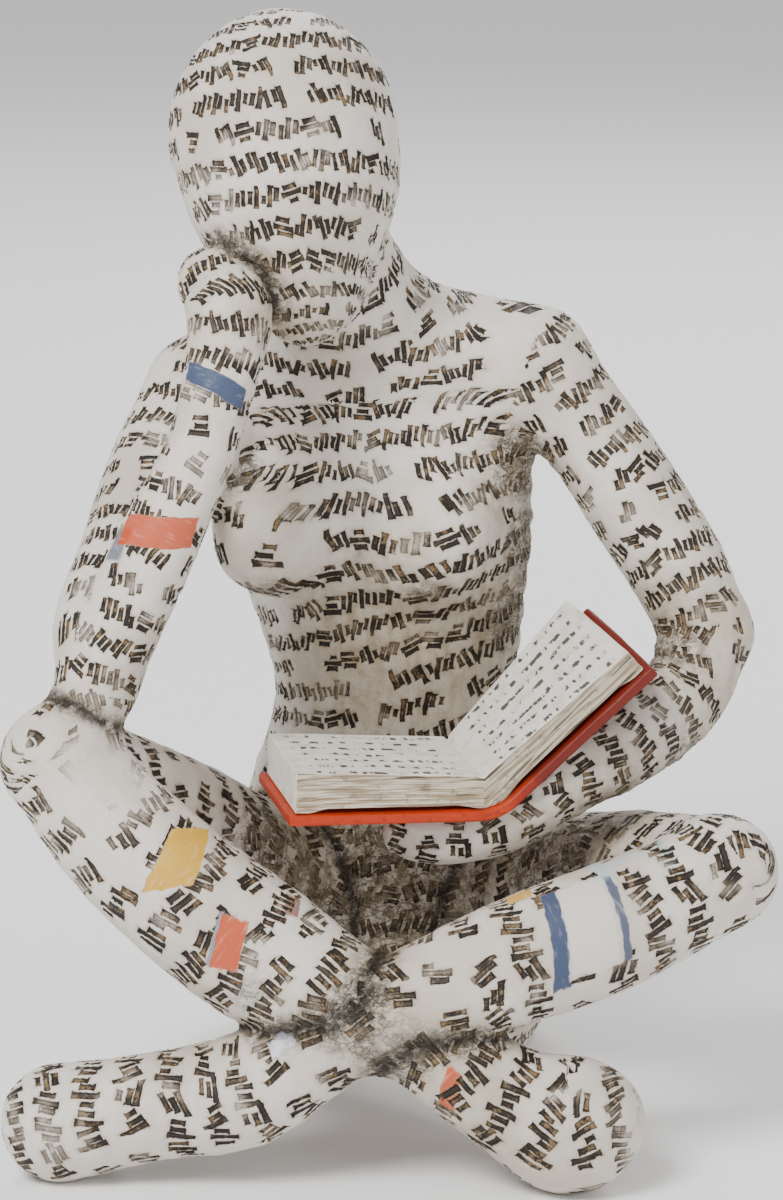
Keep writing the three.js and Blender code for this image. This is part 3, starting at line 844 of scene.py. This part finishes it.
def paper_finish(colours):
    """Painted paper: off-white, with strokes in tan and dark brown, wash in the hollows, painted
    shade in the creases and on the belly, lap and undersides, and painted patches."""
    f = Finish("printed_paper")
    place = f.place()
    cells, rows, _ = f.split(f.attribute("paper_rows", "Vector"))
    rucked, washed_and_shaded, bare, crease = (f.attribute(n) for n in ("rucked", "washed_and_shaded", "bare", "crease"))
    distance, tall = stroke_nodes(f, cells, rows)
    grain = f.noise(place, 0.55, 4.0, 0.65)
    uneven = f.minus(grain, 0.5)
    blot = f.noise(place, 2.4, 3.0)
    patchy = f.noise(place, 8.0, 2.0)

    # Paper: off-white, a little dirtier in broad clouds, brown where wash was left on it and where
    # shade is painted.
    cloud = f.noise(place, 24.0, 3.0)
    paper = f.mix(f.ease(0.4, 0.65, cloud), colours.paper, colours.paper_shade)
    brushed = f.noise(f.stretched(place, (1.0, 1.0, 0.2)), 1.6, 4.0)
    paper = f.mix(f.times(f.ease(0.5, 0.8, brushed), 0.3), paper, colours.paper_shade)
    held = f.ease(0.30, 0.72, f.plus(f.times(f.plus(blot, brushed), 0.5), f.times(uneven, 0.4)))
    # Painted shade and wash: the paper turns brown on the belly, the lap, the undersides and along
    # creases.
    paper = f.mix(f.times(washed_and_shaded, f.plus(f.times(held, 0.55), 0.38)), paper, colours.pale_wash_and_shade)

    # Rucks: thin dark lines where a noise crosses its middle, and specks.
    warped = f.stretched(place, (1, 1, 1.5))
    fold_a = f.math("ABSOLUTE", f.minus(f.noise(warped, 3.4, 4.0, 0.6), 0.5))
    fold_b = f.math("ABSOLUTE", f.minus(f.noise(place, 1.7, 3.0, 0.6), 0.5))
    fine_lines = f.times(f.ease(0.028, 0.004, fold_b), 0.7)
    lines = f.math("MAXIMUM", f.ease(0.030, 0.006, fold_a), fine_lines)
    specks = f.ease(0.63, 0.72, f.noise(place, 1.4, 2.0, 0.5))
    dirt = f.times(rucked, f.ease(0.40, 0.66, f.plus(blot, f.times(uneven, 0.45))))
    paper = f.mix(f.times(dirt, 0.7), paper, colours.wash)
    paper = f.mix(f.times(f.times(lines, rucked), 0.75), paper, colours.ink_and_shade)
    paper = f.mix(f.times(f.times(specks, rucked), 0.4), paper, colours.ink_and_shade)

    # Patches of paint, streaked along the rows. Some hide the strokes under them.
    streak = f.noise(f.stretched(f.combine(cells, rows), (1.2, 9.0, 1.0)), 1.0, 3.0)
    hidden = None
    painted = paper
    for patch in PATCHES:
        share = patch_nodes(f, cells, rows, blot, patch)
        paint_colour = getattr(colours, patch.colour)
        light = tuple(c + (1 - c) * 0.3 for c in paint_colour)
        coat = f.mix(f.times(f.ease(0.54, 0.74, streak), 0.5), paint_colour, light)
        painted = f.mix(f.times(share, patch.cover), painted, coat)
        if patch.hides:
            hidden = share if hidden is None else f.math("MAXIMUM", hidden, share)

    # Strokes: the grain eats at their edges. A soft halo of wash lies round them, and wash is
    # tan inside and dark at the edges, more of it low in the mark.
    ragged = f.plus(distance, f.times(uneven, 0.42))
    fade = f.plus(f.times(f.ease(0.34, 0.50, patchy), 0.6), 0.4)
    broken = f.minus(1.0, f.times(rucked, f.times(f.ease(0.45, 0.6, blot), 0.8)))
    shown = f.times(f.times(f.minus(1.0, bare), f.minus(1.0, hidden)), broken)
    inside = f.times(f.ease(0.12, -0.04, ragged), shown)
    rim = f.times(f.ease(-0.30, -0.05, ragged), inside)
    pooled = f.minus(f.plus(blot, f.times(uneven, 0.5)), f.times(tall, 0.035))
    dark = f.ease(0.34, 0.50, pooled)
    halo = f.times(f.times(f.ease(0.75, 0.0, distance), shown), f.ease(0.35, 0.65, blot))
    inked = f.mix(f.times(halo, 0.5), painted, colours.pale_wash_and_shade)
    inked = f.mix(f.times(inside, fade), inked, colours.stroke)
    inked = f.mix(f.times(f.times(rim, fade), f.plus(f.times(dark, 0.5), 0.45)), inked, colours.ink_and_shade)
    inked = f.mix(f.times(f.times(inside, dark), f.times(fade, 0.9)), inked, colours.ink_and_shade)
    # Painted shade: the creases between limbs are darkened almost to black.
    crease_shade = f.times(crease, f.ease(0.2, 0.5, f.plus(blot, f.times(uneven, 0.3))))
    inked = f.mix(f.times(crease_shade, 0.85), inked, colours.ink_and_shade)

    rough = f.plus(f.times(grain, 0.12), 0.48)
    height = f.plus(f.times(grain, 0.30), f.times(f.ease(-0.12, 0.12, ragged), f.times(shown, 0.6)))
    height = f.minus(height, f.times(f.times(lines, rucked), 0.7))
    height = f.plus(height, f.times(brushed, 0.25))
    normal = f.bump(height, 0.35, 0.85)
    return f.finish(inked, rough, normal)


def new_piece(name, mesh, slot, *nodes):
    """A finished piece on the root body, which stands for CAD nodes."""
    piece = bpy.data.objects.new(name, mesh)
    bpy.context.scene.collection.objects.link(piece)
    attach(piece, "root")
    if nodes:
        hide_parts(*nodes)
    return piece


def grid_mesh(name, points, closed_round=False):
    """A mesh of quads over a grid of points, rows by columns; closed_round joins the last
    column to the first."""
    rows, columns = points.shape[:2]
    index = np.arange(rows * columns).reshape(rows, columns)
    if closed_round:
        index = np.hstack([index, index[:, :1]])
    quads = np.stack([index[:-1, :-1], index[:-1, 1:], index[1:, 1:], index[1:, :-1]], axis=-1)
    mesh = bpy.data.meshes.new(name)
    mesh.from_pydata((points.reshape(-1, 3) * MM).tolist(), [], quads.reshape(-1, 4).tolist())
    mesh.update()
    return mesh


# The open book: the gutter's near end, and the book's sizes before it is bent open.
GUTTER = np.array([16.2, -46, 70.2]) + ORIGIN
SPINE_TURN = math.radians(11.4)
LEAF_LONG = 29.0
LEAF_WIDE = 36.2
LEFT_RISE = math.radians(1.5)
RIGHT_RISE = math.radians(42)
RIGHT_SPLAY = math.radians(8.5)
BEND = 8.0
COVER = 2.8
COVER_EDGE = 1.3
BLOCK = 5.1
BLOCK_LEAN = 1.5
GUTTER_DIP = 0.5
GUTTER_WIDE = 2.5


def block_top(across):
    """The height of the open page over the underside of the cover: it falls to the right, and
    dips along the gutter as a bell curve."""
    dip = GUTTER_DIP * np.exp(-((across / GUTTER_WIDE) ** 2))
    return COVER + BLOCK - BLOCK_LEAN * across / LEAF_WIDE - dip


def bent_open(across, up, along):
    """Points of the flat book once it is open: the underside of the cover runs straight, then
    along an arc that turns it from the left slope to the right one, then straight again, and
    up is at right angles to it. The right slope is steeper further from her reader."""
    right = RIGHT_RISE + RIGHT_SPLAY * along / LEAF_LONG
    turn_per = (right + LEFT_RISE) / BEND
    half = BEND / 2
    in_arc = np.clip(across, -half, half)
    angle = -LEFT_RISE + turn_per * (in_arc + half)
    middle = -LEFT_RISE + turn_per * half
    radius = 1 / turn_per
    beyond = across - in_arc
    sine, cosine = np.sin(angle), np.cos(angle)
    x = radius * (sine - np.sin(middle)) + beyond * cosine - up * sine
    z = radius * (np.cos(middle) - cosine) + beyond * sine + up * cosine
    return x, z


def book_points(across, up, along):
    """Points of the flat book, set in her hand."""
    x0, z0 = bent_open(np.array(0.0), block_top(0.0), np.array(0.0))
    x, z = bent_open(across, up, along)
    x, z = x - x0, z - z0
    return np.stack(
        [
            GUTTER[0] + x * math.cos(SPINE_TURN) - along * math.sin(SPINE_TURN),
            GUTTER[1] + x * math.sin(SPINE_TURN) + along * math.cos(SPINE_TURN),
            GUTTER[2] + z,
        ],
        axis=-1,
    )


def box_faces(counts):
    """The six faces of a unit box as grids of (across, up, along) shares, wound outwards."""
    steps = [np.linspace(0, 1, n) for n in counts]
    faces = []
    for axis in range(3):
        a, b = (axis + 1) % 3, (axis + 2) % 3
        for end in (0, 1):
            first, second = np.meshgrid(steps[a], steps[b], indexing="ij")
            face = np.empty((*first.shape, 3))
            face[..., axis], face[..., a], face[..., b] = end, first, second
            faces.append((face if end else face[::-1], axis, end))
    return faces


def slab_mesh(name, low_corner, high_corner, low, high, edge, counts, worn):
    """A closed slab of the book, made flat and then bent open: a box with its edges rounded, as
    each point further out than the box drawn in by edge is put at that distance from it.
    low and high give its underside and top for a place across; worn moves a side face out."""
    points, quads, start = [], [], 0
    for share, axis, end in box_faces(counts):
        across = low_corner[0] + share[..., 0] * (high_corner[0] - low_corner[0])
        along = low_corner[1] + share[..., 2] * (high_corner[1] - low_corner[1])
        thick = high(across) - low(across)
        flat = np.stack([across, share[..., 1] * thick, along], axis=-1)
        inner_low = np.array([low_corner[0], 0, low_corner[1]]) + edge
        far_across, far_along = (np.full_like(thick, high_corner[i]) for i in (0, 1))
        inner_high = np.stack([far_across, thick, far_along], axis=-1) - edge
        core = np.minimum(np.maximum(flat, inner_low), inner_high)
        out = flat - core
        length = np.linalg.norm(out, axis=-1, keepdims=True)
        flat = core + out / np.maximum(length, 1e-6) * edge
        rim = np.minimum(share, 1 - share)
        rim[..., axis] = 1
        size = np.array([high_corner[0] - low_corner[0], 5.0, high_corner[1] - low_corner[1]])
        fade = ease(0.05, 0.5, (rim * size).min(axis=-1))
        flat[..., axis] += (2 * end - 1) * fade * worn(axis, across, share[..., 1], along)
        bent = book_points(flat[..., 0], flat[..., 1] + low(across), flat[..., 2])
        points.append(bent.reshape(-1, 3))
        index = start + np.arange(points[-1].shape[0]).reshape(share.shape[:2])
        corners = (index[:-1, :-1], index[1:, :-1], index[1:, 1:], index[:-1, 1:])
        quads.append(np.stack(corners, axis=-1).reshape(-1, 4))
        start += points[-1].shape[0]
    mesh = bpy.data.meshes.new(name)
    mesh.from_pydata((np.vstack(points) * MM).tolist(), [], np.vstack(quads).tolist())
    return changed_by(mesh, "WELD", merge_threshold=0.004 * MM)


LEAVES = 13  # leaves that can be told apart in a block
BOARD = 1.9  # thickness of the cover board


def cover_relief(axis, across, up, along):
    """How a face of the cover is worn: slight lumps."""
    place = np.stack([across, up, along], axis=-1).reshape(-1, 3)
    return 0.12 * CRUMPLE.at(place, 4).reshape(across.shape)


def leaf_relief(axis, across, up, along):
    """How a face of a block of leaves is worn: grooves between leaves and uneven leaf edges on
    the sides, and a slight wave on the open page."""
    place = np.stack([across, 0 * across, along], axis=-1).reshape(-1, 3)
    if axis == 1:
        return (0.16 * CRUMPLE.at(place, 7)).reshape(across.shape)
    leaf = up * LEAVES
    groove = np.abs(leaf - np.floor(leaf) - 0.5) * 2
    level = np.floor(leaf).reshape(-1, 1) * (0, 3.7, 0)
    uneven = CRUMPLE.at(place + level, 9).reshape(across.shape)
    return 0.16 * uneven - 0.16 * ease(0.6, 1, groove)


def under_leaves(across):
    """The underside of the leaves: it stands off the cover by a gap that closes at the spine
    and at the ends of the cover."""
    out = np.abs(across)
    return BOARD + 0.05 + 0.75 * ease(2, 8, out) * (1 - ease(LEAF_WIDE - 6, LEAF_WIDE - 2, out))


def give_flat(mesh):
    """Writes where each point was in the flat book, across, along and up, on every vertex."""
    points = points_of(mesh)
    q = points - GUTTER
    across = q[:, 0] * math.cos(SPINE_TURN) + q[:, 1] * math.sin(SPINE_TURN)
    along = -q[:, 0] * math.sin(SPINE_TURN) + q[:, 1] * math.cos(SPINE_TURN)
    slope = np.where(across > 0, RIGHT_RISE + RIGHT_SPLAY * along / LEAF_LONG, -LEFT_RISE)
    flat = np.stack(
        [
            across * np.cos(slope) + q[:, 2] * np.sin(slope),
            along,
            q[:, 2] * np.cos(slope) - across * np.sin(slope),
        ],
        axis=1,
    )
    attribute = mesh.attributes.new("flat_book", "FLOAT_VECTOR", "POINT")
    attribute.data.foreach_set("vector", flat.astype(np.float32).ravel())


def page_finish(colours):
    """Leaves: off-white pages with rows of small dark dashes, beige edges with darker lines."""
    f = Finish("book_leaves")
    place = f.place()
    across, along, up = f.split(f.attribute("flat_book", "Vector"))
    grain = f.noise(place, 0.5, 4.0)
    uneven = f.minus(grain, 0.5)
    blot = f.noise(place, 3.0, 3.0)
    page = f.mix(f.ease(0.42, 0.7, blot), colours.page, colours.page_shade)
    geometry = f.tree.nodes.new("ShaderNodeNewGeometry")
    normal = geometry.outputs["Normal"]
    spine = f.combine(math.sin(-SPINE_TURN), math.cos(SPINE_TURN))
    facing = f.tree.nodes.new("ShaderNodeVectorMath")
    facing.operation = "DOT_PRODUCT"
    f.put(facing.inputs[0], normal)
    f.put(facing.inputs[1], spine)
    side = f.ease(0.55, 0.8, f.math("ABSOLUTE", facing.outputs["Value"]))
    leaves = f.combine(f.times(f.plus(across, along), 0.06), up)
    streak = f.noise(leaves, 0.55, 2.0)
    edge = f.mix(f.ease(0.40, 0.62, streak), colours.page_edge, colours.pale_wash_and_shade)
    between = f.ease(0.60, 0.66, f.noise(f.stretched(leaves, (1, 1, 1), (0, 0, 0.02)), 0.9, 1.0))
    edge = f.mix(f.times(between, 0.75), edge, colours.ink_and_shade)
    stain = f.ease(0.56, 0.68, f.plus(blot, f.times(uneven, 0.4)))
    edge = f.mix(f.times(stain, 0.5), edge, colours.wash)
    # Dashes: rows 4.2 mm apart, cut by noise into short uneven runs.
    wave = f.times(f.noise(f.combine(across, along), 7.0, 1.0), 1.6)
    line = f.math("FRACT", f.times(f.plus(along, wave), 1 / 4.2))
    thin = f.plus(f.math("ABSOLUTE", f.minus(line, 0.5)), f.times(uneven, 0.25))
    stroke = f.ease(0.21, 0.13, thin)
    runs = f.noise(f.stretched(f.combine(across, along), (1.0, 0.25, 1.0)), 1.3, 2.0)
    dashes = f.times(stroke, f.ease(0.50, 0.56, f.plus(runs, f.times(uneven, 0.12))))
    out = f.math("ABSOLUTE", across)
    margin = f.times(f.ease(3.0, 4.5, out), f.ease(31.5, 29.5, out))
    dashes = f.times(f.times(dashes, margin), f.minus(1.0, side))
    colour = f.mix(f.times(dashes, 0.9), page, colours.ink_and_shade)
    colour = f.mix(side, colour, edge)
    height = f.minus(f.times(grain, 0.4), f.times(dashes, 0.5))
    return f.finish(colour, 0.6, f.bump(height, 0.25, 0.7))


def cover_finish(colours):
    """The cover: painted red-orange, bright on the left, painted shade in darker red on the right,
    worn spots.
    """
    f = Finish("book_cover")
    place = f.place()
    across, along, _ = f.split(f.attribute("flat_book", "Vector"))
    grain = f.noise(place, 0.6, 4.0)
    uneven = f.minus(grain, 0.5)
    blot = f.noise(place, 4.0, 3.0)
    # Painted shade: the right half of the cover is given the darker red.
    right = f.ease(-2.0, 8.0, f.plus(across, f.times(f.minus(blot, 0.5), 14.0)))
    colour = f.mix(right, colours.cover, colours.cover_shade)
    brushed = f.noise(f.stretched(place, (0.3, 0.3, 1.6)), 1.6, 4.0)
    light = f.ease(0.56, 0.72, brushed)
    colour = f.mix(f.times(light, f.times(f.minus(1.0, right), 0.5)), colour, colours.orange)
    worn = f.ease(0.62, 0.68, f.plus(f.noise(place, 1.2, 2.0), f.times(uneven, 0.2)))
    colour = f.mix(f.times(worn, 0.35), colour, colours.cover_dark)
    # The outer edge of the shaded right side has lost its paint down to the pale cast.
    bared = f.times(f.ease(LEAF_WIDE - 0.8, LEAF_WIDE, across), f.ease(-0.5, 1.5, along))
    colour = f.mix(f.times(bared, 0.8), colour, colours.pale_wash_and_shade)
    height = f.plus(f.times(grain, 0.3), f.times(brushed, 0.5))
    return f.finish(colour, 0.42, f.bump(height, 0.3, 0.7))


class FigureSizes(PropertyGroup):
    """The sizes of the relief on her skin, in millimetres."""

    skin_cell: FloatProperty(
        name="Skin cell", description="Cell in which the relief is made, mm",
        default=0.45, min=0.3, max=2,
    )
    skin_triangles: IntProperty(
        name="Skin triangles", description="Most triangles of her skin",
        default=196000, min=20000, max=199000,
    )
    stroke_depth: FloatProperty(
        name="Stroke depth", description="How deep a stroke is pressed in, mm",
        default=0.38, min=0, max=1,
    )
    strip_step: FloatProperty(
        name="Strip step", description="Step from one strip of paper to the next, mm",
        default=0.10, min=0, max=0.5,
    )
    ruck_height: FloatProperty(
        name="Ruck height", description="Height of the rucks in the paper, mm",
        default=0.55, min=0, max=2,
    )


def tint(name, description, *rgb):
    return FloatVectorProperty(name=name, description=description, subtype="COLOR", size=3,
                               min=0, max=1, default=paint(*rgb))


class FigureColours(PropertyGroup):
    """The paints of the figure and the book."""

    paper: tint("Paper", "Paint of the smooth paper", 219, 212, 202)
    paper_shade: tint("Paper shade", "The paper where the paint is thin", 198, 188, 174)
    stroke: tint("Stroke", "Wash in the strokes", 124, 100, 70)
    # This dark brown is the ink of the strokes and also painted shade in the creases between limbs.
    ink_and_shade: tint("Ink", "Dark wash at the edges of strokes and in creases", 14, 9, 5)
    wash: tint("Wash", "Wash over rucked paper", 98, 82, 60)
    # This pale brown is wash and also painted shade on the belly, the lap and under her limbs.
    pale_wash_and_shade: tint("Light wash", "Thin wash left on flat paper", 152, 134, 106)
    blue: tint("Blue", "Paint of the blue patches", 8, 48, 92)
    pale_blue: tint("Pale blue", "Thin blue paint", 160, 200, 206)
    slate: tint("Slate", "Grey-blue line beside a patch", 110, 122, 140)
    orange: tint("Orange", "Paint of the orange patches", 190, 68, 0)
    yellow: tint("Yellow", "Paint of the yellow patches", 202, 154, 0)
    red: tint("Red", "Paint of the small dark red patch", 110, 24, 14)
    lilac: tint("Lilac", "Paint of the pale patch on the ankle", 224, 220, 230)
    page: tint("Page", "Top of the leaves", 228, 222, 212)
    page_shade: tint("Page shade", "Leaves in thin paint", 210, 202, 190)
    page_edge: tint("Page edge", "Sides of the leaves", 205, 195, 176)
    cover: tint("Cover", "The bright side of the cover", 172, 46, 2)
    # The darker red is painted shade on the right half of the cover.
    cover_shade: tint("Cover shade", "The dull side of the cover", 104, 24, 10)
    cover_dark: tint("Cover wear", "Dark rubbed spots of the cover", 50, 16, 8)


class StageLooks(PropertyGroup):
    """The camera, the lights and the floor."""

    elevation: FloatProperty(
        name="Elevation", description="Camera's height as an angle", subtype="ANGLE",
        default=math.radians(13),
    )
    distance: FloatProperty(
        name="Distance", description="Camera's distance", subtype="DISTANCE", unit="LENGTH",
        default=0.95,
    )
    lens: FloatProperty(
        name="Lens", description="Focal length on a 36 mm sensor", default=156.3
    )
    aim: FloatVectorProperty(
        name="Aim", description="Where the camera looks", subtype="XYZ", unit="LENGTH", size=3,
        default=(0.00056, 0.01284, 0.0915),
    )
    floor: tint("Floor", "Paint of the floor", 250, 250, 250)


class FIGURINE_OT_skin(Operator):
    """Makes her skin with its strokes, rucks and patches"""

    bl_idname = "figurine.skin"
    bl_label = "Skin"

    def execute(self, context):
        scene = context.scene
        mesh = skin_mesh(scene.figurine_sizes)
        give_rows(mesh)
        give_zones(mesh)
        mesh.shade_smooth()
        mesh.materials.clear()
        mesh.materials.append(paper_finish(scene.figurine_colours))
        new_piece("papered_skin", mesh, "figure", "reading_woman")
        return {"FINISHED"}


class FIGURINE_OT_book(Operator):
    """Makes the open book: its cover and its leaves"""

    bl_idname = "figurine.book"
    bl_label = "Book"

    def execute(self, context):
        colours = context.scene.figurine_colours
        reach = LEAF_WIDE + COVER_EDGE
        cover = slab_mesh(
            "cover", (-reach, -COVER_EDGE), (reach, LEAF_LONG + COVER_EDGE),
            lambda across: 0 * across, lambda across: 0 * across + BOARD,
            0.5, (160, 14, 60), cover_relief,
        )
        leaves = slab_mesh(
            "leaves", (-LEAF_WIDE, 0.0), (LEAF_WIDE, LEAF_LONG), under_leaves, block_top,
            0.3, (220, LEAVES * 6 + 1, 90), leaf_relief,
        )
        for name, mesh, finish in (
            ("book_cover", cover, cover_finish(colours)),
            ("book_leaves", leaves, page_finish(colours)),
        ):
            give_flat(mesh)
            mesh.materials.append(finish)
            mesh.shade_smooth()
            new_piece(name, mesh, "book", "open_book")
        return {"FINISHED"}


class FIGURINE_OT_stage(Operator):
    """Makes the floor, the lights and the camera"""

    bl_idname = "figurine.stage"
    bl_label = "Stage"

    def execute(self, context):
        scene = context.scene
        looks = scene.figurine_stage
        angle = np.linspace(0, 2 * math.pi, 97)[:-1]
        radius = np.array([0.0, 0.5, 3.0, 12.0])[:, None]
        x, y = radius * np.cos(angle), radius * np.sin(angle)
        rings = np.stack([x, y, 0 * x], axis=-1)[:, ::-1]
        mesh = grid_mesh("floor", rings / MM, closed_round=True)
        mesh = changed_by(mesh, "WELD", merge_threshold=1e-5)
        floor_finish = Finish("floor")
        place = floor_finish.place()
        speck = floor_finish.noise(place, 30.0, 2.0)
        colour = floor_finish.mix(floor_finish.times(speck, 0.03), looks.floor, (0.85, 0.85, 0.85))
        mesh.materials.append(floor_finish.finish(colour, 0.9, specular=0.1))
        floor = bpy.data.objects.new("floor", mesh)
        scene.collection.objects.link(floor)

        world = bpy.data.worlds.new("studio")
        world.use_nodes = True
        background = world.node_tree.nodes["Background"]
        background.inputs["Color"].default_value = (1, 1, 1, 1)
        background.inputs["Strength"].default_value = 0.66
        scene.world = world

        aim = Vector(looks.aim)
        for name, place, size, power in (
            ("key_light", (-0.5, -0.75, 0.95), 0.5, 17.0),
            ("fill_light", (0.9, -0.7, 0.5), 0.8, 3.5),
            ("back_light", (0.2, 0.9, 0.8), 0.8, 7.0),
        ):
            data = bpy.data.lights.new(name, "AREA")
            data.shape = "DISK"
            data.size = size
            data.energy = power
            light = bpy.data.objects.new(name, data)
            light.location = place
            light.rotation_euler = (Vector(place) - aim).to_track_quat("Z", "Y").to_euler()
            scene.collection.objects.link(light)

        data = bpy.data.cameras.new("camera")
        data.sensor_fit = "VERTICAL"
        data.sensor_height = 36
        data.lens = looks.lens
        camera = bpy.data.objects.new("camera", data)
        back = Vector((0, -math.cos(looks.elevation), math.sin(looks.elevation)))
        camera.location = aim + looks.distance * back
        camera.rotation_euler = back.to_track_quat("Z", "Y").to_euler()
        scene.collection.objects.link(camera)
        scene.camera = camera
        return {"FINISHED"}


class FIGURINE_PT_panel(Panel):
    """Lists the pieces of the figurine"""

    bl_idname = "FIGURINE_PT_panel"
    bl_label = "Figurine"
    bl_space_type = "VIEW_3D"
    bl_region_type = "UI"
    bl_category = "Figurine"

    def draw(self, context):
        for operator in OPERATORS:
            self.layout.operator(operator.bl_idname)
        for group in ("figurine_sizes", "figurine_colours", "figurine_stage"):
            looks = getattr(context.scene, group)
            for name in looks.__annotations__:
                self.layout.prop(looks, name)


OPERATORS = (FIGURINE_OT_skin, FIGURINE_OT_book, FIGURINE_OT_stage)
GROUPS = {
    "figurine_sizes": FigureSizes,
    "figurine_colours": FigureColours,
    "figurine_stage": StageLooks,
}


def register():
    for group, kind in GROUPS.items():
        bpy.utils.register_class(kind)
        setattr(bpy.types.Scene, group, PointerProperty(type=kind))
    for kind in (*OPERATORS, FIGURINE_PT_panel):
        bpy.utils.register_class(kind)


def unregister():
    for kind in (FIGURINE_PT_panel, *OPERATORS):
        bpy.utils.unregister_class(kind)
    for group, kind in GROUPS.items():
        delattr(bpy.types.Scene, group)
        bpy.utils.unregister_class(kind)


def main():
    register()
    bpy.ops.figurine.stage()
    bpy.ops.figurine.skin()
    bpy.ops.figurine.book()


if __name__ == "__main__":
    main()
